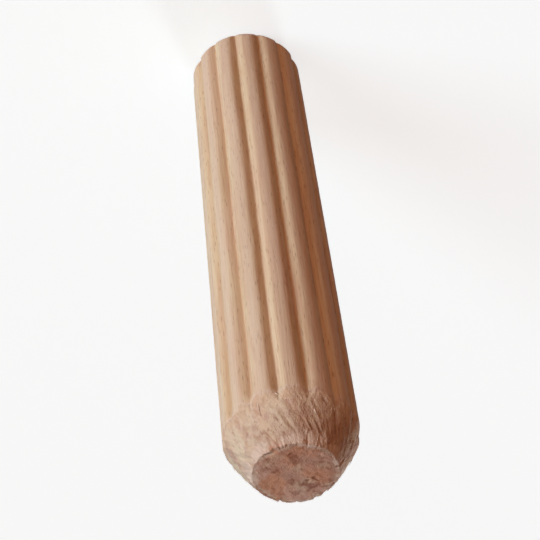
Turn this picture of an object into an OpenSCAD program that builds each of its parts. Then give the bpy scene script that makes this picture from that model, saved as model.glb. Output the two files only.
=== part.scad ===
// Multi-groove dowel pin: a straight hardwood rod with lengthwise grooves, for glued joints.
// Millimetres. The pin stands on its rounded end, +Z runs along its axis to the bevelled end,
// and the origin is at the centre of the face that it stands on.

/* [Pin] */
// Overall length, end face to end face
pin_length = 40; // [20:1:80]
// Diameter across the ridges, which is the bore that the pin presses into
pin_diameter = 8; // [6:0.5:16]

/* [Grooves] */
// Number of grooves around the pin
groove_count = 14; // [10:1:18]
// Depth of a groove below the ridges
groove_depth = 0.4; // [0.2:0.02:0.6]
// Angle between the two flanks of a groove
groove_angle = 60; // [30:2:80]
// Radius at the root of a groove
root_radius = 0.06; // [0.04:0.01:0.12]
// Radius that rounds the shoulders of a ridge
shoulder_radius = 0.25; // [0.1:0.01:0.35]

/* [Bevelled end] */
// Length of the bevel along the pin
bevel_length = 3; // [1.5:0.1:5]
// How far the bevel comes in from the ridges
bevel_depth = 1.65; // [0.8:0.05:2.2]

/* [Rounded end] */
// Length of the rounding along the pin
rounding_length = 1.5; // [1.2:0.1:2.4]
// How far the rounding comes in from the ridges
rounding_depth = 1.1; // [0.6:0.1:1.2]

/* [Finish] */
// Colour of the bare wood
wood_colour = "#d9bd97"; // ["#d9bd97", "#c9a47a", "#e6d2b4"]

/* [Hidden] */

// Roundness of the curved surfaces
$fn = 96;
// Cutters run this far past what they cut.
overrun = 1;
pin_radius = pin_diameter / 2;

// The rounding is an arc that leaves the shank along it and ends on the rim of the foot.
rounding_radius = (rounding_depth ^ 2 + rounding_length ^ 2) / (2 * rounding_depth);

// A groove's section has its middle on the Y axis, with Y running out from the pin's axis.
// Its flank is a straight line past the root's circle and the shoulder's, one on either side.
groove_pitch = 360 / groove_count;
flank_slope = 90 - groove_angle / 2;
flank_run = [cos(flank_slope), sin(flank_slope)];
flank_side = [sin(flank_slope), -cos(flank_slope)];
// The line passes a circle's centre at this share of its radius, so it crosses the circle cleanly.
flank_pass = 0.98;
// Angle at which a shoulder leaves the full diameter
shoulder_lead = 14;
// Distance from the pin's axis to a shoulder's centre
shoulder_reach = sqrt(
    pin_radius ^ 2 + shoulder_radius ^ 2 - 2 * pin_radius * shoulder_radius * cos(shoulder_lead)
);
root_centre = [0, pin_radius - groove_depth + root_radius];
// The shoulder's centre is on a line beside the flank, at the place that is shoulder_reach out.
beside_flank = root_centre + flank_pass * (root_radius + shoulder_radius) * flank_side;
along = beside_flank * flank_run;
climb = sqrt(along ^ 2 - beside_flank * beside_flank + shoulder_reach ^ 2) - along;
shoulder_centre = beside_flank + climb * flank_run;
flank_foot = root_centre + flank_pass * root_radius * flank_side;
flank_head = shoulder_centre - flank_pass * shoulder_radius * flank_side;
groove_top = [shoulder_centre[0], pin_radius + overrun];

function mirrored(point) = [-point[0], point[1]];

// Outline of half the pin, from its axis outwards
module half_outline() {
    difference() {
        polygon([
            [0, 0],
            [pin_radius, 0],
            [pin_radius, pin_length - bevel_length],
            [pin_radius - bevel_depth, pin_length],
            [0, pin_length]
        ]);
        difference() {
            translate([pin_radius - rounding_radius, -overrun])
                square([rounding_radius + overrun, rounding_length + overrun]);
            translate([pin_radius - rounding_radius, rounding_length])
                circle(r = rounding_radius);
        }
    }
}

// One groove in section: a V with a rounded root and rounded shoulders, open outwards
module groove_section() {
    difference() {
        polygon([
            flank_foot,
            flank_head,
            shoulder_centre,
            groove_top,
            mirrored(groove_top),
            mirrored(shoulder_centre),
            mirrored(flank_head),
            mirrored(flank_foot)
        ]);
        translate(shoulder_centre)
            circle(r = shoulder_radius);
        translate(mirrored(shoulder_centre))
            circle(r = shoulder_radius);
    }
    translate(root_centre)
        circle(r = root_radius);
}

// Grooves from end to end, so that they fade out on the bevel and on the rounding
module grooves() {
    for (step = [0 : groove_count - 1])
        rotate([0, 0, groove_pitch * (step + 0.5) - 90])
            translate([0, 0, -overrun])
                linear_extrude(height = pin_length + 2 * overrun)
                    groove_section();
}

module dowel_pin() {
    color(wood_colour)
        difference() {
            rotate_extrude()
                half_outline();
            grooves();
        }
}

dowel_pin();
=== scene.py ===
import math

import bpy
import numpy as np
from mathutils import Matrix, Vector


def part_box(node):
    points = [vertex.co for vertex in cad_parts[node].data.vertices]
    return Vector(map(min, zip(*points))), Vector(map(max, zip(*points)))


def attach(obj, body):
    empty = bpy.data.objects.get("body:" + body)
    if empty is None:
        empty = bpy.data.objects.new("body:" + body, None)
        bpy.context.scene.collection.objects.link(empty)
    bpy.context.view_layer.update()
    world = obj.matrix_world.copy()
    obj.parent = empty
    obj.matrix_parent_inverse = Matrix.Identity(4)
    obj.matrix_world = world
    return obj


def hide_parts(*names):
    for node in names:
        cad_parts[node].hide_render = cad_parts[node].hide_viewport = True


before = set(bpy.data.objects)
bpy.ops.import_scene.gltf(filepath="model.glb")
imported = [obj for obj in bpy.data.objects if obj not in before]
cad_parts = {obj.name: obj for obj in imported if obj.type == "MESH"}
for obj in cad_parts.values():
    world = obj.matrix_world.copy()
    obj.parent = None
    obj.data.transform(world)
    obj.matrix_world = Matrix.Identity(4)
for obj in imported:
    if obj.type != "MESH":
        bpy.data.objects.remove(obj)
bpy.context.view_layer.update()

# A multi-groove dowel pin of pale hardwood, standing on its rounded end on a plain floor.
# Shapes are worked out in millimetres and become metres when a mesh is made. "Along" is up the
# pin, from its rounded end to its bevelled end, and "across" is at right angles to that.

MM = 0.001
TAU = 2 * math.pi

# The pin's sizes: the overall ones come from the CAD node, and the others are the CAD source's.
PIN = "dowel_pin"
PIN_LOW, PIN_HIGH = (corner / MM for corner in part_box(PIN))
LENGTH = PIN_HIGH.z - PIN_LOW.z
RADIUS = PIN_HIGH.x
GROOVES = 14
PITCH = TAU / GROOVES  # the angle from one groove to the next
GROOVE_DEPTH = 0.4
BEVEL_LENGTH = 3.0
BEVEL_DEPTH = 1.65
BEVEL_START = LENGTH - BEVEL_LENGTH
ROUNDING_LENGTH = 1.5
ROUNDING_DEPTH = 1.1
ROUNDING_RADIUS = (ROUNDING_DEPTH**2 + ROUNDING_LENGTH**2) / (2 * ROUNDING_DEPTH)

# The section of the ridges and grooves, which is softer than the CAD's
RIDGE_CROWN = 0.1  # drop from the middle of a ridge to its edge
RIDGE_HALF_WIDTH = 0.57
RIDGE_SWELL = 0.06  # makes up for what rounding the shoulders takes off a ridge
RIDGE_WAVES = 0.02
FLANK_STEEPNESS = 1.1  # rise of a groove's side for each millimetre across
ROOT_ROUNDING = 0.05
SHOULDER_ROUNDING = 0.12
CUT_ROUNDING = 0.07  # where the bevel and the rounded end meet the shank

# How the grooves differ from each other and along their length
GROOVE_DRIFT = 0.03  # slow and sideways, as a share of the pitch
GROOVE_WAVER = 0.02  # the same, but quicker
DEPTH_MEAN = 0.95  # this and the next two are shares of GROOVE_DEPTH
DEPTH_SPREAD = 0.2
DEPTH_DRIFT = 0.15
GROOVE_END = BEVEL_START + 0.2
GROOVE_END_SPREAD = 0.4
FADE_START, FADE_END = -0.9, 0.3  # the stretch where a groove fades out, seen from its end
FADE_SHARE = 0.85  # how much of its depth a groove loses there
FULL_GROOVE = 0.7  # the share of GROOVE_DEPTH from which a point counts as all groove
# Lanes through the noise: the step from one to the next, and where they all lie in y
GROOVE_LANES = (5.37, 0.5)
RIDGE_LANES = (3.1, 7.5)

# Relief of the shank
FIBRE_HEIGHT = 0.010
GRIT_HEIGHT = 0.006
WAVE_HEIGHT = 0.015
SHANK_SINK = 0.03  # keeps the relief inside the full radius

# The bevel, a cone on which the wood tore. Where two heights are given, the first is for calm
# wood and the second is added in the rougher patches.
BEVEL_SWELL = 0.12  # makes up for what the torn relief and the rounding take off the cone
BEVEL_WOBBLE = 0.06
TEAR_TWIST = 0.2  # radians for each millimetre along the pin
STRIP_HEIGHTS = (0.02, 0.03)
CHIP_HEIGHTS = (0.02, 0.06)
THREAD_HEIGHT = 0.018
CRUMB_HEIGHT = 0.022
PIT_DEPTH = 0.08
RAGGED_COARSE, RAGGED_FINE = 0.15, 0.1  # how far the edge of the torn wood strays
TORN_CUT = (-0.12, 0.04)  # depth of the cone's cut where the tearing starts and where it is complete
TORN_HEIGHTS = (BEVEL_START - 0.15, BEVEL_START + 0.1)  # the same as heights

# The end face on the bevelled end, with its chipped and worn rim
FACE_SINK = 0.04  # keeps the relief inside the full length
FACE_DOME = 0.08  # how far the end face falls from its middle to its rim
RIM_ROUNDING = 0.07
RIM_CHIPS, RIM_NICKS = 0.12, 0.08
RIM_WEAR = 0.08  # how unevenly the rim is worn, as a share of the face's radius
CHIPPED_LENGTH = 1.2  # the stretch of the bevel that sinks with the rim
LUMP_HEIGHT = 0.05
FACE_CRUMB_HEIGHT = 0.028
FACE_PIT_DEPTH = 0.06
PIT_BEND = 0.25
FACE_RELIEF_RANGE = (-0.2, 0.03)
RIM_RELIEF = 0.5  # the share of the face's relief that is left at its rim

# Where the end face changes towards its rim, in shares of its radius
ROUNDING_SHARES = (0.78, 1.0)
JOINING_SHARES = (0.88, 1.0)
# The pale share of the rim is frayed wood and a painted highlight on its worn edge.
PALE_SHARES = (0.84, 0.98)
DARK_END_SHARES = (0.86, 1.0)
DARK_END_STRAY = 0.16

# Where the bevel changes towards the end face's rim, in millimetres
# The pale band just below the rim is frayed wood and a painted highlight on its edge.
PALE_HEIGHTS = (LENGTH - 1.0, LENGTH - 0.3)
DARK_HEIGHTS = (LENGTH - 0.3, LENGTH + 0.1)
DARK_STRAY = 0.6

# The rounded end, ground smooth, and its small flat face
FOOT_ROUGHNESS = 0.012
FOOT_HOLLOW = 0.05
FOOT_FACE_ROUGHNESS = 0.03
GROUND_CUT = (-0.1, 0.2)  # depth of the grinding where it starts to show and where it is complete
GROUND_TORN, FOOT_FACE_TORN = 0.5, 0.6  # how much ground wood looks like torn wood

# The mesh: columns of points around the pin, and rings of them along it
COLUMNS = 30 * GROOVES
FOOT_RINGS = 18
ROUNDING_RINGS = 14
SHANK_RINGS = 90
BEVEL_RINGS = 52
FACE_RINGS = 58
BEVEL_ZONE = BEVEL_LENGTH + 0.9  # the closely ringed stretch at the bevelled end

# Torn fibres on the bevelled end: slivers at the ends of the grooves, splinters at the ends of
# the ridges, and fine hairs. Each grows where the skin is torn, and grooved, that much or more.
FIBRE_SEED = 53
FIBRE_STATIONS = 6  # cross-sections from root to tip
FIBRE_TAPER = 1.5
FIBRE_THICKNESS = 0.45  # as a share of its width
FIBRE_SLANT = (-0.2, 0.3)  # mean and spread of its angle to the pin, in radians
FIBRE_BEND = (-0.25, 0.15)  # how far its tip bends off the wood, as a share of its length
ROOT_SINK, ROOT_BACK = 0.3, 0.1  # how far its root is sunk and set back, in widths and lengths
FIBRE_CLEARANCE = 0.1  # how far a fibre's tip may stand off the cone that was cut
SIDE_MARGIN, TOP_MARGIN = 0.03, 0.1  # between a fibre's tip and the pin's full size
FIBRE_KINDS = (
    {
        "count": 70,
        "heights": (BEVEL_START - 0.4, BEVEL_START + 1.1),
        "torn": 0.05,
        "groove": 0.06,
        "length": (0.3, 0.8),
        "width": (0.14, 0.3),
        "lift": (0.05, 0.3),  # an angle off the wood, in radians
    },
    {
        "count": 80,
        "heights": (BEVEL_START - 0.5, BEVEL_START + 1.0),
        "torn": 0.2,
        "groove": 0.0,
        "length": (0.4, 1.3),
        "width": (0.09, 0.26),
        "lift": (0.0, 0.12),
    },
    {
        "count": 320,
        "heights": (BEVEL_START - 0.3, LENGTH - 0.3),
        "torn": 0.4,
        "groove": 0.0,
        "length": (0.12, 0.4),
        "width": (0.03, 0.08),
        "lift": (0.02, 0.2),
    },
)


# ---- Noise and blending ----------------------------------------------------------------------


class Noise:
    """Smooth random values from about -1 to 1 over points in space, the same on every run."""

    CELLS = 32
    GAIN = 1.5  # gradient noise alone stays well inside -1 to 1
    LAYER_SHIFT = 7.7  # keeps the layers from lining up

    def __init__(self, seed):
        random = np.random.default_rng(seed)
        slopes = random.normal(size=(self.CELLS, self.CELLS, self.CELLS, 3))
        self.slopes = slopes / np.linalg.norm(slopes, axis=-1, keepdims=True)
        self.turn = random.uniform(0.3, 1.2)

    def __call__(self, points, across, along=None, part=0):
        """The value at each point. Bumps are spaced across and along the pin as given, in mm.

        Another part of the noise gives another pattern."""
        x, y, z = np.moveaxis(points + part, -1, 0)
        cos, sin = math.cos(self.turn), math.sin(self.turn)
        turned = np.stack((x * cos - y * sin, x * sin + y * cos, z), axis=-1)
        scaled = turned / (across, across, along or across)
        cell = np.floor(scaled).astype(int)
        offset = scaled - cell
        share = offset**3 * (offset * (offset * 6 - 15) + 10)
        total = np.zeros(scaled.shape[:-1])
        for corner in np.ndindex(2, 2, 2):
            weight = np.prod(np.where(corner, share, 1 - share), axis=-1)
            index = np.moveaxis((cell + corner) % self.CELLS, -1, 0)
            total += weight * np.sum(self.slopes[tuple(index)] * (offset - corner), axis=-1)
        return self.GAIN * total

    def layered(self, points, across, along=None, part=0, layers=3):
        """Coarse bumps with finer and finer ones on them."""
        along = along or across
        points = points + part
        total = 0
        for n in range(layers):
            finer = 0.5**n
            total += finer * self(points + self.LAYER_SHIFT * n, across * finer, along * finer)
        return total


WANDER = Noise(11)  # slow changes of the whole shape
GRAIN = Noise(23)
GRIT = Noise(37)
SAME_ALONG = (1, 1, 0)  # points times this give a noise that doesn't change along the pin


def step(value, start, end):
    """0 before start, 1 after end, with a smooth rise between them."""
    share = np.clip((value - start) / (end - start), 0, 1)
    return share * share * (3 - 2 * share)


def lower(a, b, rounding):
    """The smaller of two values, with a rounded changeover."""
    return (a + b - np.sqrt((a - b) ** 2 + rounding**2)) / 2


def blend(a, b, share):
    return a + (b - a) * share


# ---- The pin's skin --------------------------------------------------------------------------


def on_cylinder(angle, height, radius=RADIUS):
    parts = np.broadcast_arrays(radius * np.cos(angle), radius * np.sin(angle), height)
    return np.stack(parts, axis=-1)


def noise_lane(lanes, number, height):
    """A line of points through the noise, another one for each groove or ridge of the pin."""
    spacing, y = lanes
    return np.stack(np.broadcast_arrays(number % GROOVES * spacing, y, height), axis=-1)


def groove_course(number, height):
    """Angle and depth of a groove along the pin. Each groove wanders a little in its own way."""
    lane = noise_lane(GROOVE_LANES, number, height)
    drift = GROOVE_DRIFT * WANDER(lane, 1, 14) + GROOVE_WAVER * WANDER(lane, 1, 4, part=3)
    angle = (number + 0.5 + drift) * PITCH
    own = DEPTH_SPREAD * WANDER(lane * SAME_ALONG, 1, part=29)
    depth = GROOVE_DEPTH * (DEPTH_MEAN + DEPTH_DRIFT * WANDER(lane, 1, 9, part=11) + own)
    end = GROOVE_END + GROOVE_END_SPREAD * WANDER(lane * SAME_ALONG, 1, part=19)
    return angle, depth * (1 - FADE_SHARE * step(height, end + FADE_START, end + FADE_END))


def shank_section(angle, height):
    """Radius of the grooved shank, and how far each point lies into a groove, from 0 to 1."""
    before = np.floor(angle / PITCH - 0.5)
    left, left_depth = groove_course(before, height)
    right, right_depth = groove_course(before + 1, height)
    lane = noise_lane(RIDGE_LANES, before, height)
    off_middle = (angle - (left + right) / 2) * RADIUS
    crown = RADIUS + RIDGE_SWELL - RIDGE_WAVES * WANDER(lane, 1, 11)
    crown = crown - RIDGE_CROWN * (off_middle / RIDGE_HALF_WIDTH) ** 2
    radius = crown
    for side, depth in ((left, left_depth), (right, right_depth)):
        across = np.hypot((angle - side) * RADIUS, ROOT_ROUNDING) - ROOT_ROUNDING
        wall = RADIUS - depth + FLANK_STEEPNESS * across
        radius = lower(radius, wall, SHOULDER_ROUNDING)
    return radius, np.clip((crown - radius) / (FULL_GROOVE * GROOVE_DEPTH), 0, 1)


def rough_shank(angle, height, place):
    """The shank with slow waves and the fine relief of its fibres, and how far it is groove."""
    radius, groove = shank_section(angle, height)
    fibres = FIBRE_HEIGHT * GRAIN(place, 0.2, 3.2) + GRIT_HEIGHT * GRIT(place, 0.13, 1.1)
    waves = WAVE_HEIGHT * WANDER(place, 3, 9, part=5)
    return radius + fibres + waves - SHANK_SINK, groove


def ring_plan():
    """Height of each ring between the two end faces, closer on the rounding and the bevel."""
    full_turn = math.asin(ROUNDING_LENGTH / ROUNDING_RADIUS)
    turns = np.linspace(full_turn, 0, ROUNDING_RINGS, endpoint=False)
    rounding = ROUNDING_LENGTH - ROUNDING_RADIUS * np.sin(turns)
    shank = np.linspace(ROUNDING_LENGTH, LENGTH - BEVEL_ZONE, SHANK_RINGS, endpoint=False)
    bevel = np.linspace(LENGTH - BEVEL_ZONE, LENGTH, BEVEL_RINGS)
    return np.concatenate((rounding, shank, bevel))


def rounded_end_radius(height):
    """Radius allowed by the rounding at the foot."""
    below = np.clip(ROUNDING_LENGTH - height, 0, ROUNDING_LENGTH)
    return RADIUS - ROUNDING_RADIUS + np.sqrt(ROUNDING_RADIUS**2 - below**2)


def cone_radius(height):
    """Radius of the plain bevel, before the tears and the wobble."""
    return RADIUS - BEVEL_DEPTH + BEVEL_SWELL + BEVEL_DEPTH / BEVEL_LENGTH * (LENGTH - height)


def twisted(points):
    """The points turned about the pin's axis in step with their height, as the cutter tore them."""
    turn = TEAR_TWIST * (points[..., 2] - LENGTH)
    x, y = points[..., 0], points[..., 1]
    cos, sin = np.cos(turn), np.sin(turn)
    return np.stack((x * cos - y * sin, x * sin + y * cos, points[..., 2]), axis=-1)


def bevel_relief(points):
    """Torn fibres, crumbs and pits on the bevel, in millimetres, and how far each point is a pit."""
    slanted = twisted(points)
    rough = step(GRAIN(points, 1.3, part=3), -0.3, 0.5)
    strips = (STRIP_HEIGHTS[0] + STRIP_HEIGHTS[1] * rough) * GRIT(slanted, 0.17, 1.3)
    threads = THREAD_HEIGHT * GRIT(slanted, 0.1, 0.7, part=8)
    chips = CHIP_HEIGHTS[0] + CHIP_HEIGHTS[1] * rough
    chips = chips * GRAIN.layered(slanted, 0.55, 1.0, part=21)
    crumbs = CRUMB_HEIGHT * GRIT.layered(points, 0.22, 0.3)
    pits = step(GRAIN.layered(slanted, 0.4, 0.9, part=17), 0.5, 0.8)
    return strips + threads + chips + crumbs - PIT_DEPTH * pits, pits


def face_relief(points):
    """Relief of the broken end face, in millimetres, and how far each point is a pit."""
    lumps = LUMP_HEIGHT * GRAIN.layered(points, 1.3, part=31)
    crumbs = FACE_CRUMB_HEIGHT * GRIT.layered(points, 0.3, part=5, layers=2)
    bent = points + PIT_BEND * GRAIN(points, 0.7, part=13)[..., None]
    pits = step(GRAIN.layered(bent, 0.8, part=47), 0.45, 0.85)
    return np.clip(lumps + crumbs - FACE_PIT_DEPTH * pits, *FACE_RELIEF_RANGE), pits


def cut_bevel(radius, height, place, ragged):
    """The radius after the bevel's cut, and how far each point is torn and a pit."""
    relief, pits = bevel_relief(place)
    cone = cone_radius(height) + BEVEL_WOBBLE * WANDER(place * SAME_ALONG, 2.6, part=3)
    torn = step(radius - cone + ragged, *TORN_CUT)
    torn = np.maximum(torn, step(height + 2 * ragged, *TORN_HEIGHTS))
    return lower(radius, cone + relief, CUT_ROUNDING), torn, pits


def grind_foot(radius, height, place):
    """The radius after the rounded end is ground, and how far each point is ground."""
    foot = rounded_end_radius(height) + FOOT_ROUGHNESS * GRIT(place, 0.4)
    ground = step(radius - foot, *GROUND_CUT)
    return np.minimum(lower(radius, foot, CUT_ROUNDING), RADIUS), ground


def sunk_rim(height, place):
    """Each point's height after the rim of the bevelled end is chipped and worn down."""
    rim = place[-1:]
    chip = RIM_CHIPS * step(GRAIN.layered(rim, 0.8, part=41), 0.1, 0.8)
    chip = chip + RIM_NICKS * step(GRIT.layered(rim, 0.35, part=9), 0.0, 0.7)
    chip = chip + FACE_DOME + RIM_ROUNDING
    return height - chip * step(height, LENGTH - CHIPPED_LENGTH, LENGTH)


def pin_side(angle):
    """Radius, height and surface kinds of the pin from the foot's rim to the end face's rim."""
    height = ring_plan()[:, None]
    place = on_cylinder(angle, height)
    ragged = RAGGED_COARSE * GRAIN.layered(place, 0.5, 0.9, part=29)
    ragged = ragged + RAGGED_FINE * GRIT(place, 0.14, 1.1, part=2)
    # The dark end grain starts along a ragged line, partly above the rim and partly below it.
    dark = height + DARK_STRAY * GRAIN.layered(place, 0.5, part=53)

    radius, groove = rough_shank(angle, height, place)
    radius, torn, pits = cut_bevel(radius, height, place, ragged)
    radius, ground = grind_foot(radius, height, place)
    kinds = {
        "groove": groove * (1 - torn),
        "torn": np.maximum(torn, GROUND_TORN * ground),
        "pits": pits * torn,
        "face": step(dark, *DARK_HEIGHTS),
        # Pale band below the rim: frayed wood and a painted highlight.
        "rim": step(height + ragged, *PALE_HEIGHTS),
    }
    return radius, sunk_rim(height, place), kinds


def top_face(angle, rim_radius, rim_height):
    """Radius, height and surface kinds of the bevelled end's face, from its rim inwards."""
    share = 1 - np.linspace(0, 1, FACE_RINGS + 1)[1:-1, None]
    place = on_cylinder(angle, LENGTH, share * rim_radius)
    relief, pits = face_relief(place)
    worn = share + RIM_WEAR * GRAIN.layered(place, 0.9, part=61)
    dark = share - DARK_END_STRAY * GRAIN.layered(place, 0.5, part=53)

    fall = FACE_DOME * share**2 + RIM_ROUNDING * step(worn, *ROUNDING_SHARES)
    height = LENGTH - FACE_SINK - fall + relief
    height = blend(height, rim_height + RIM_RELIEF * relief, step(share, *JOINING_SHARES))
    kinds = {
        "groove": np.zeros_like(height),
        "torn": np.ones_like(height),
        "pits": pits,
        "face": 1 - step(dark, *DARK_END_SHARES),
        # Pale rim: frayed wood and a painted highlight on the worn edge.
        "rim": step(worn, *PALE_SHARES),
    }
    return share * rim_radius, height, kinds


def foot_face(angle, rim_radius):
    """Radius, height and surface kinds of the rounded end's hollow face, out to its rim."""
    share = np.linspace(0, 1, FOOT_RINGS + 1)[1:-1, None]
    place = on_cylinder(angle, 0, share * rim_radius)
    roughness = FOOT_FACE_ROUGHNESS * np.abs(GRIT.layered(place, 0.4))
    height = FOOT_HOLLOW * (1 - share**3) + roughness * (1 - share**6)
    none, full = np.zeros_like(height), np.ones_like(height)
    kinds = {"groove": none, "torn": FOOT_FACE_TORN * full, "pits": none, "face": full, "rim": none}
    return share * rim_radius, height, kinds


def pin_skin():
    """Angle, radius, height and surface kinds of the pin's points, ring by ring from the foot."""
    angle = np.arange(COLUMNS)[None, :] * TAU / COLUMNS
    side = pin_side(angle)
    radius, height, _ = side
    stretches = (foot_face(angle, radius[:1]), side, top_face(angle, radius[-1:], height[-1:]))
    radii, heights, kinds = zip(*stretches)
    joined = {name: np.concatenate([kind[name] for kind in kinds]) for name in kinds[0]}
    return angle, np.concatenate(radii), np.concatenate(heights), joined


# ---- Pieces ----------------------------------------------------------------------------------


def new_piece(name, points, faces, material):
    """A smooth-shaded mesh object of points in millimetres, in the CAD's frame."""
    mesh = bpy.data.meshes.new(name)
    mesh.from_pydata((points * MM).tolist(), [], faces)
    mesh.shade_smooth()
    mesh.materials.append(material)
    piece = bpy.data.objects.new(name, mesh)
    bpy.context.scene.collection.objects.link(piece)
    return piece


def paint(piece, name, values):
    """Stores a value for each point of the piece, for its material to read."""
    layer = piece.data.attributes.new(name, "FLOAT", "POINT")
    layer.data.foreach_set("value", np.asarray(values, np.float32).ravel())


def pin_faces(rings):
    """Quads between the rings, and a fan at each end whose middle point follows the last ring."""
    column = np.arange(COLUMNS)
    after = (column + 1) % COLUMNS
    faces = []
    for ring in range(rings - 1):
        here, above = ring * COLUMNS, (ring + 1) * COLUMNS
        quads = (here + column, here + after, above + after, above + column)
        faces += np.stack(quads, axis=1).tolist()
    foot_middle, top_middle = rings * COLUMNS, rings * COLUMNS + 1
    last = (rings - 1) * COLUMNS
    faces += [[foot_middle, b, a] for a, b in zip(column.tolist(), after.tolist())]
    faces += [[top_middle, last + a, last + b] for a, b in zip(column.tolist(), after.tolist())]
    return faces


def make_pin(skin, material):
    angle, radius, height, kinds = skin
    points = on_cylinder(angle, height, radius).reshape(-1, 3)
    middles = [[0, 0, height[0].mean()], [0, 0, height[-1].mean()]]
    pin = new_piece("pin_wood", np.vstack((points, middles)), pin_faces(len(radius)), material)
    for name, values in kinds.items():
        paint(pin, name, np.append(values.ravel(), (values[0].mean(), values[-1].mean())))
    return pin


def blade(root, along, outward, length, width, bend):
    """Points and faces of one torn fibre: a flat blade that tapers and bends off the wood."""
    sideways = np.cross(along, outward)
    points = []
    for share in np.linspace(0, 1, FIBRE_STATIONS)[:-1]:
        middle = root + length * share * along + bend * length * share**2 * outward
        half = 0.5 * width * (1 - share**FIBRE_TAPER)
        for reach, lift in ((1, 0), (0, FIBRE_THICKNESS), (-1, 0), (0, -FIBRE_THICKNESS)):
            points.append(middle + half * (reach * sideways + lift * outward))
    points.append(root + length * (along + bend * outward))
    faces = [[3, 2, 1, 0]]
    for a in range(0, 4 * (FIBRE_STATIONS - 2), 4):
        faces += [[a + n, a + (n + 1) % 4, a + 4 + (n + 1) % 4, a + 4 + n] for n in range(4)]
    a, tip = 4 * (FIBRE_STATIONS - 2), len(points) - 1
    faces += [[a + n, a + (n + 1) % 4, tip] for n in range(4)]
    return points, faces


def random_fibre(random, kind, place, side, ahead):
    """Points and faces of one fibre, rooted just under the skin and slanted as the wood tore."""
    outward = np.cross(side, ahead)
    slant = random.normal(*FIBRE_SLANT)
    lift = random.uniform(*kind["lift"])
    along = math.cos(slant) * ahead + math.sin(slant) * side
    along = math.cos(lift) * along + math.sin(lift) * outward
    length = random.uniform(*kind["length"])
    width = random.uniform(*kind["width"])
    root = place - ROOT_SINK * width * outward - ROOT_BACK * length * along
    bend = random.uniform(*FIBRE_BEND)
    return blade(root, along, outward, length, width, bend)


def stays_close(tip):
    """Whether a fibre's tip keeps near the cut cone and inside the pin's full size."""
    allowed = min(RADIUS - SIDE_MARGIN, cone_radius(tip[2]) + FIBRE_CLEARANCE)
    return math.hypot(tip[0], tip[1]) <= allowed and tip[2] <= LENGTH - TOP_MARGIN


def fibre_spots(kind, height, kinds):
    """Rings and columns of the skin's points where this kind of fibre may grow."""
    low, high = kind["heights"]
    fits = (height > low) & (height < high)
    fits = fits & (kinds["torn"] > kind["torn"]) & (kinds["groove"] >= kind["groove"])
    return np.nonzero(fits)


def make_torn_fibres(skin, material):
    """Splinters and hairs that stand up where the bevel was cut, rooted in the pin's skin."""
    angle, radius, height, kinds = skin
    places = on_cylinder(angle, height, radius)
    across = np.roll(places, -1, axis=1) - np.roll(places, 1, axis=1)
    upward = np.gradient(places, axis=0)
    random = np.random.default_rng(FIBRE_SEED)
    points, faces = [], []
    for kind in FIBRE_KINDS:
        rings, columns = fibre_spots(kind, height, kinds)
        made = 0
        while made < kind["count"]:
            pick = random.integers(len(rings))
            spot = rings[pick], columns[pick]
            side = across[spot] / np.linalg.norm(across[spot])
            ahead = upward[spot] / np.linalg.norm(upward[spot])
            new_points, new_faces = random_fibre(random, kind, places[spot], side, ahead)
            if stays_close(new_points[-1]):
                faces += [[len(points) + n for n in face] for face in new_faces]
                points += new_points
                made += 1
    fibres = new_piece("torn_fibres", np.array(points), faces, material)
    paint(fibres, "fresh", np.ones(len(points)))
    return fibres


# ---- Materials -------------------------------------------------------------------------------


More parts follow.
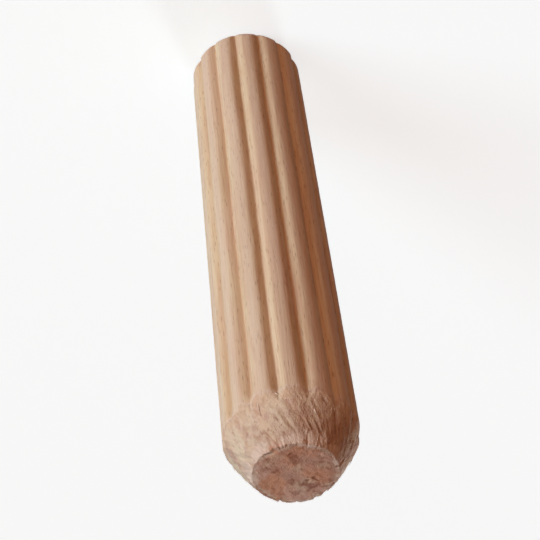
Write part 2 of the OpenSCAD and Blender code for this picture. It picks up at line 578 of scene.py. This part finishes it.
class Shader:
    """Builds a material's nodes with short calls. Most calls return the socket they make."""

    BUMP_STRENGTH = 0.8
    SPECULAR = 0.1

    def __init__(self, name):
        self.material = bpy.data.materials.new(name)
        self.material.use_nodes = True
        self.tree = self.material.node_tree
        self.tree.nodes.clear()

    def add(self, kind, **settings):
        """A new node, not a socket."""
        node = self.tree.nodes.new("ShaderNode" + kind)
        for name, value in settings.items():
            setattr(node, name, value)
        return node

    def feed(self, socket, value):
        if isinstance(value, bpy.types.NodeSocket):
            self.tree.links.new(value, socket)
        elif isinstance(value, tuple) and socket.type == "RGBA":
            socket.default_value = (*value, 1)
        else:
            socket.default_value = value

    def math(self, operation, a, b=0.0, c=0.0, clamp=False):
        node = self.add("Math", operation=operation, use_clamp=clamp)
        for socket, value in zip(node.inputs, (a, b, c)):
            self.feed(socket, value)
        return node.outputs[0]

    def rise(self, value, start, end):
        """0 before start, 1 after end, with a smooth rise between them."""
        node = self.add("MapRange", interpolation_type="SMOOTHSTEP")
        for name, number in (("Value", value), ("From Min", start), ("From Max", end)):
            self.feed(node.inputs[name], number)
        return node.outputs[0]

    def mix(self, share, a, b):
        node = self.add("Mix", data_type="RGBA")
        self.feed(node.inputs["Factor"], share)
        colours = [socket for socket in node.inputs if socket.type == "RGBA"]
        self.feed(colours[0], a)
        self.feed(colours[1], b)
        return next(socket for socket in node.outputs if socket.type == "RGBA")

    def tint(self, colour, share, amount, other):
        """The colour, with that amount of the other one in it where share is 1."""
        return self.mix(self.math("MULTIPLY", share, amount), colour, other)

    def vector(self, operation, a, b):
        """A new vector node, not a socket, because its outputs differ."""
        node = self.add("VectorMath", operation=operation)
        self.feed(node.inputs[0], a)
        self.feed(node.inputs[1], b)
        return node

    def spaced(self, place, across, along, shift=None):
        """The place in units of so many millimetres across and along the pin."""
        if shift:
            place = self.vector("ADD", place, shift).outputs[0]
        return self.vector("MULTIPLY", place, (1 / across, 1 / across, 1 / along)).outputs[0]

    def noise(self, place, across, along, shift=None, detail=2.0, roughness=0.5):
        """Soft blotches, spaced as given. Another shift gives another pattern."""
        node = self.add("TexNoise")
        self.feed(node.inputs["Vector"], self.spaced(place, across, along, shift))
        self.feed(node.inputs["Scale"], 1.0)
        self.feed(node.inputs["Detail"], detail)
        self.feed(node.inputs["Roughness"], roughness)
        return node.outputs["Fac"]

    def cells(self, place, across, along):
        """Distance to the nearest of many scattered points, spaced as given."""
        node = self.add("TexVoronoi")
        self.feed(node.inputs["Vector"], self.spaced(place, across, along))
        self.feed(node.inputs["Scale"], 1.0)
        return node.outputs["Distance"]

    def painted(self, name):
        return self.add("Attribute", attribute_name=name).outputs["Fac"]

    def millimetres(self):
        place = self.add("TexCoord").outputs["Object"]
        return self.vector("MULTIPLY", place, (1 / MM, 1 / MM, 1 / MM)).outputs[0]

    def height(self, place):
        return self.vector("DOT_PRODUCT", place, (0, 0, 1)).outputs["Value"]

    def bump(self, relief, depth, below=None):
        """The normal over a relief from 0 to 1 that is so many millimetres deep."""
        node = self.add("Bump")
        self.feed(node.inputs["Strength"], self.BUMP_STRENGTH)
        self.feed(node.inputs["Distance"], depth * MM)
        self.feed(node.inputs["Height"], relief)
        if below is not None:
            self.feed(node.inputs["Normal"], below)
        return node.outputs[0]

    def finish(self, colour, roughness, normal):
        body = self.add("BsdfPrincipled")
        self.feed(body.inputs["Base Color"], colour)
        self.feed(body.inputs["Roughness"], roughness)
        self.feed(body.inputs["Specular IOR Level"], self.SPECULAR)
        self.feed(body.inputs["Normal"], normal)
        return self.surface(body.outputs[0])

    def surface(self, shader):
        output = self.add("OutputMaterial")
        self.feed(output.inputs["Surface"], shader)
        return self.material


CREAM = (0.75, 0.67, 0.495)
TAN = (0.655, 0.525, 0.36)
ROSE = (0.71, 0.56, 0.44)
PORE = (0.34, 0.19, 0.12)
STREAK_LIGHT = (0.80, 0.72, 0.56)
STREAK_BROWN = (0.56, 0.38, 0.27)
# Painted shade for the grooves, laid on by how deep a point lies in a groove.
GROOVE_SHADE_BROWN = (0.50, 0.29, 0.17)
END_GRAIN = (0.55, 0.41, 0.32)
# Dark end grain. It is also painted shade in the pits.
END_DARK_AND_PIT_SHADE = (0.30, 0.12, 0.08)
HEART_AND_SHADE_BROWN = (0.40, 0.25, 0.18)
MAUVE = (0.50, 0.35, 0.32)
FACE_BROWN = (0.63, 0.35, 0.235)
FACE_GREY = (0.66, 0.46, 0.39)
TORN_LIGHT = (0.71, 0.64, 0.51)
# Pale frayed wood. It is also used for painted highlights on the rim and on the torn edge.
PALE_FRAY_AND_HIGHLIGHT = (0.76, 0.67, 0.60)

# The pith lies on the side away from the key lamp, so the bevel's browning towards it is painted
# shade as well as heartwood.
PITH = (-15.0, -14.0, 0.0)  # the tree's middle, seen from the pin's axis
PITH_DISTANCE = math.hypot(PITH[0], PITH[1])
PITH_LEAN = 0.03  # how far the rings shift for each millimetre up the pin
RING_WIDTH = 1.7
SMOOTH_ROUGHNESS = 0.66
GROOVE_ROUGHNESS, TORN_ROUGHNESS = 0.1, 0.22  # added in the grooves and where the wood is torn
THREAD_DEPTH, CRUMB_DEPTH = 0.03, 0.05


def pith_distance(sh, place):
    flat = sh.vector("MULTIPLY", place, (1, 1, PITH_LEAN)).outputs[0]
    return sh.vector("DISTANCE", flat, PITH).outputs["Value"]


def growth_rings(sh, place):
    """How near each place is to the dark end of a year's growth, from 0 to 1."""
    drift = sh.noise(place, 6, 40, detail=1)
    years = sh.math("ADD", sh.math("DIVIDE", pith_distance(sh, place), RING_WIDTH), drift)
    part = sh.math("FRACT", years)
    return sh.math("MULTIPLY", sh.rise(part, 0.35, 0.9), sh.rise(part, 1.0, 0.94))


def side_grain(sh, place, late):
    """Wood along its fibres: broad and fine streaks over the growth rings."""
    broad = sh.noise(place, 0.8, 13, detail=3)
    fine = sh.noise(place, 0.13, 3.2, detail=3, roughness=0.6)
    rosy = sh.noise(place, 1.5, 11, shift=(31, 7, 3), detail=3)
    lines = sh.noise(place, 0.16, 5.5, shift=(4, 19, 8), detail=3, roughness=0.7)
    colour = sh.mix(sh.rise(broad, 0.43, 0.68), CREAM, TAN)
    colour = sh.tint(colour, sh.rise(rosy, 0.45, 0.65), 0.65, ROSE)
    colour = sh.tint(colour, late, 0.4, TAN)
    colour = sh.tint(colour, sh.rise(fine, 0.5, 0.72), 0.75, TAN)
    colour = sh.tint(colour, sh.rise(fine, 0.47, 0.28), 0.6, STREAK_LIGHT)
    return sh.tint(colour, sh.rise(lines, 0.51, 0.63), 0.45, STREAK_BROWN)


def vessel_pores(sh, place):
    """Short dark dashes along the fibres."""
    vessels = sh.cells(place, 0.14, 1.2)
    return sh.math("MULTIPLY", sh.rise(vessels, 0.25, 0.12), 0.45)


def cut_grain(sh, place, late):
    """Torn wood across its fibres: patches and flecks, browner inwards and nearer the pith. The pith
    lies on the side away from the key lamp, so browning towards it is painted shade on the bevel's
    dark side as well as heartwood.
    """
    patches = sh.noise(place, 1.1, 1.4, detail=4, roughness=0.65)
    mauve = sh.noise(place, 1.0, 1.0, shift=(3, 1, 9), detail=4)
    fuzz = sh.noise(place, 0.24, 0.5, shift=(9, 5, 1))
    flecks = sh.noise(place, 0.26, 0.4, shift=(6, 4, 2))
    # Browner towards the pith: heartwood, and painted shade on the bevel's side away from the key
    # lamp.
    uneven = sh.math("MULTIPLY_ADD", mauve, -3.0, pith_distance(sh, place))
    heart_and_shade = sh.rise(uneven, PITH_DISTANCE - 2.3, PITH_DISTANCE - 5.5)
    height = sh.math("MULTIPLY_ADD", sh.math("SUBTRACT", patches, 0.5), 2.5, sh.height(place))
    heart_and_shade = sh.math("MULTIPLY", heart_and_shade, sh.rise(height, BEVEL_START, BEVEL_START + 1.8))
    colour = sh.mix(sh.rise(patches, 0.47, 0.66), TORN_LIGHT, END_GRAIN)
    colour = sh.tint(colour, sh.rise(height, BEVEL_START + 1.6, BEVEL_START), 0.5, ROSE)
    colour = sh.tint(colour, sh.rise(mauve, 0.54, 0.64), 0.7, MAUVE)
    colour = sh.tint(colour, late, 0.25, FACE_BROWN)
    colour = sh.tint(colour, sh.rise(fuzz, 0.5, 0.68), 0.45, PALE_FRAY_AND_HIGHLIGHT)
    # Painted shade and heartwood: browner towards the pith.
    colour = sh.tint(colour, heart_and_shade, 0.7, HEART_AND_SHADE_BROWN)
    colour = sh.tint(colour, sh.rise(height, BEVEL_START + 1.2, LENGTH + 0.2), 0.45, HEART_AND_SHADE_BROWN)
    return sh.tint(colour, sh.rise(flecks, 0.61, 0.73), 0.55, END_DARK_AND_PIT_SHADE)


def face_grain(sh, place, late):
    """The darker end faces: brown, grey-pink and pale blotches, dark spots and fine pores."""
    blotch = sh.noise(place, 1.7, 1.7, shift=(5, 13, 2), detail=3)
    pale = sh.noise(place, 1.1, 1.1, shift=(15, 3, 12), detail=3)
    spots = sh.noise(place, 0.6, 0.8, shift=(8, 2, 6), detail=3)
    pores = sh.cells(place, 0.13, 1.5)
    colour = sh.mix(sh.rise(blotch, 0.4, 0.62), FACE_GREY, FACE_BROWN)
    colour = sh.tint(colour, late, 0.3, END_DARK_AND_PIT_SHADE)
    colour = sh.tint(colour, sh.rise(pale, 0.5, 0.7), 0.5, TORN_LIGHT)
    colour = sh.tint(colour, sh.rise(pores, 0.3, 0.12), 0.4, END_DARK_AND_PIT_SHADE)
    return sh.tint(colour, sh.rise(spots, 0.54, 0.7), 0.75, END_DARK_AND_PIT_SHADE)


def torn_wood(sh, place, late, face, rim):
    """The bevel's and the end faces' colour, with pale fraying wood and a painted highlight in
    patches along the rim.
    """
    cut = sh.mix(face, cut_grain(sh, place, late), face_grain(sh, place, late))
    # Painted highlight on the rim's edge together with pale frayed wood, in patches.
    fray_and_highlight = sh.rise(sh.noise(place, 1.2, 1.2, detail=5, roughness=0.65), 0.41, 0.53)
    return sh.tint(cut, sh.math("MULTIPLY", rim, fray_and_highlight), 0.85, PALE_FRAY_AND_HIGHLIGHT)


def wood_colour(sh, place, groove, torn, pore):
    late = growth_rings(sh, place)
    colour = sh.mix(pore, side_grain(sh, place, late), PORE)
    # Painted shade: the grooves are darkened towards their roots.
    colour = sh.tint(colour, sh.rise(groove, 0.3, 1.0), 0.25, GROOVE_SHADE_BROWN)
    # Torn wood shows more strongly further up the bevel. Along its edge on the shank a pale band is
    # a painted highlight, where the ends of the grooves turn up into the bevel.
    deep = sh.rise(sh.height(place), BEVEL_START - 0.2, BEVEL_START + 1.2)
    shown = sh.math("MULTIPLY", torn, sh.math("MULTIPLY_ADD", deep, 0.4, 0.5))
    cut = torn_wood(sh, place, late, sh.painted("face"), sh.painted("rim"))
    colour = sh.mix(shown, colour, cut)
    # Painted highlight along the edge of the torn wood.
    painted_lip_highlight = sh.math("MULTIPLY", sh.math("MULTIPLY", torn, sh.math("SUBTRACT", 1.0, torn)), 4.0)
    colour = sh.tint(colour, painted_lip_highlight, 0.7, PALE_FRAY_AND_HIGHLIGHT)
    # Painted shade in the pits of the torn wood.
    colour = sh.tint(colour, sh.painted("pits"), 0.5, END_DARK_AND_PIT_SHADE)
    return sh.tint(colour, sh.painted("fresh"), 0.75, PALE_FRAY_AND_HIGHLIGHT)


def wood_relief(sh, place, torn, pore):
    """Fine threads and open pores everywhere, and crumbs where the wood is torn."""
    threads = sh.noise(place, 0.07, 1.6)
    normal = sh.bump(sh.math("SUBTRACT", threads, pore), THREAD_DEPTH)
    crumbs = sh.noise(place, 0.08, 0.16, detail=3)
    return sh.bump(sh.math("MULTIPLY", crumbs, torn), CRUMB_DEPTH, below=normal)


def wood_material():
    sh = Shader("pale_hardwood")
    place = sh.millimetres()
    groove, torn = sh.painted("groove"), sh.painted("torn")
    pore = vessel_pores(sh, place)
    roughness = sh.math("MULTIPLY_ADD", groove, GROOVE_ROUGHNESS, SMOOTH_ROUGHNESS)
    roughness = sh.math("MULTIPLY_ADD", torn, TORN_ROUGHNESS, roughness, clamp=True)
    colour = wood_colour(sh, place, groove, torn, pore)
    return sh.finish(colour, roughness, wood_relief(sh, place, torn, pore))


def floor_material():
    """Pale to the camera and to reflections. It takes shadows, and bounces little light."""
    sh = Shader("pale_floor")
    path = sh.add("LightPath")
    seen = sh.math("MAXIMUM", path.outputs["Is Camera Ray"], path.outputs["Is Glossy Ray"])
    seen = sh.math("MAXIMUM", seen, path.outputs["Is Transmission Ray"])
    lit = sh.add("BsdfDiffuse")
    sh.feed(lit.inputs["Color"], sh.mix(seen, FLOOR_BOUNCE, FLOOR_SHADE))
    glow = sh.add("Emission")
    sh.feed(glow.inputs["Color"], FLOOR_GLOW)
    sh.feed(glow.inputs["Strength"], seen)
    both = sh.add("AddShader")
    sh.feed(both.inputs[0], lit.outputs[0])
    sh.feed(both.inputs[1], glow.outputs[0])
    return sh.surface(both.outputs[0])


# ---- Stage, lights and camera ----------------------------------------------------------------

BACKGROUND = (0.92, 0.915, 0.91)
FLOOR_BOUNCE = (0.30, 0.14, 0.08)
FLOOR_SHADE = (0.55, 0.71, 0.79)  # cooler, to even out the warm room light
FLOOR_GLOW = (0.66, 0.66, 0.66)
FLOOR_HALF_WIDTH = 3.0  # metres
ROOM_LIGHT = (0.19, 0.078, 0.043)
FULL_SUN = math.pi  # the strength at which a facing surface renders in its own colour
LAMP_ELEVATION = 10


def make_floor():
    half = FLOOR_HALF_WIDTH
    corners = [(-half, -half, 0), (half, -half, 0), (half, half, 0), (-half, half, 0)]
    mesh = bpy.data.meshes.new("floor")
    mesh.from_pydata(corners, [], [(0, 1, 2, 3)])
    mesh.materials.append(floor_material())
    floor = bpy.data.objects.new("floor", mesh)
    bpy.context.scene.collection.objects.link(floor)


def make_world():
    """A pale backdrop for the camera and for reflections, and weak warm light for the rest."""
    world = bpy.data.worlds.new("room")
    bpy.context.scene.world = world
    world.use_nodes = True
    tree = world.node_tree
    tree.nodes.clear()
    path = tree.nodes.new("ShaderNodeLightPath")
    seen = path.outputs["Is Camera Ray"]
    for ray in ("Is Glossy Ray", "Is Transmission Ray"):
        either = tree.nodes.new("ShaderNodeMath")
        either.operation = "MAXIMUM"
        tree.links.new(seen, either.inputs[0])
        tree.links.new(path.outputs[ray], either.inputs[1])
        seen = either.outputs[0]
    room, backdrop = (tree.nodes.new("ShaderNodeBackground") for _ in range(2))
    room.inputs["Color"].default_value = (*ROOM_LIGHT, 1)
    backdrop.inputs["Color"].default_value = (*BACKGROUND, 1)
    chosen = tree.nodes.new("ShaderNodeMixShader")
    tree.links.new(seen, chosen.inputs["Fac"])
    tree.links.new(room.outputs[0], chosen.inputs[1])
    tree.links.new(backdrop.outputs[0], chosen.inputs[2])
    output = tree.nodes.new("ShaderNodeOutputWorld")
    tree.links.new(chosen.outputs[0], output.inputs["Surface"])


def make_sun(name, azimuth, share, softness, colour):
    """A soft lamp from a compass direction, where azimuth 0 is +X and 90 is +Y, in degrees."""
    light = bpy.data.lights.new(name, "SUN")
    light.energy = share * FULL_SUN
    light.angle = math.radians(softness)
    light.color = colour
    lamp = bpy.data.objects.new(name, light)
    flat, up = math.radians(azimuth), math.radians(LAMP_ELEVATION)
    towards = Vector((math.cos(flat) * math.cos(up), math.sin(flat) * math.cos(up), math.sin(up)))
    lamp.rotation_mode = "QUATERNION"
    lamp.rotation_quaternion = towards.to_track_quat("Z", "Y")
    lamp.location = towards
    bpy.context.scene.collection.objects.link(lamp)


def make_lights():
    make_world()
    make_sun("key_light", azimuth=-39, share=0.94, softness=38, colour=(0.87, 0.955, 0.97))
    make_sun("fill_light", azimuth=-88, share=0.21, softness=24, colour=(1.0, 0.46, 0.25))
    make_sun("back_light", azimuth=98, share=0.68, softness=16, colour=(1.0, 1.0, 1.0))


CAMERA_AZIMUTH = -96.5
CAMERA_FROM_AXIS = 64.1
CAMERA_HEIGHT = 95.1
CAMERA_LENS = 100.8
CAMERA_ROLL = 7.25
CAMERA_CLIP = 0.001  # metres, nearer than any part of the pin
AIM_SHARE = 0.567  # the point looked at, as a share of the pin's length above the floor


def make_camera():
    """Looks down past the bevelled end, with the pin's foot at the top of the picture."""
    flat = math.radians(CAMERA_AZIMUTH)
    out = Vector((math.cos(flat), math.sin(flat), 0))
    stand = (out * CAMERA_FROM_AXIS + Vector((0, 0, CAMERA_HEIGHT))) * MM
    ahead = (Vector((0, 0, AIM_SHARE * LENGTH)) * MM - stand).normalized()
    right = ahead.cross(Vector((0, 0, -1))).normalized()
    up = right.cross(ahead)
    turn = Matrix.Rotation(math.radians(CAMERA_ROLL), 3, ahead)
    right, up = turn @ right, turn @ up
    data = bpy.data.cameras.new("camera")
    data.lens = CAMERA_LENS
    data.clip_start = CAMERA_CLIP
    camera = bpy.data.objects.new("camera", data)
    axes = Matrix((right, up, -ahead)).transposed().to_4x4()
    camera.matrix_world = Matrix.Translation(stand) @ axes
    bpy.context.scene.collection.objects.link(camera)
    bpy.context.scene.camera = camera


wood = wood_material()
skin = pin_skin()
pin = make_pin(skin, wood)
fibres = make_torn_fibres(skin, wood)
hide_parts(PIN)
for piece in (pin, fibres):
    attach(piece, "root")

make_floor()
make_lights()
make_camera()
bpy.context.scene.view_settings.view_transform = "Standard"
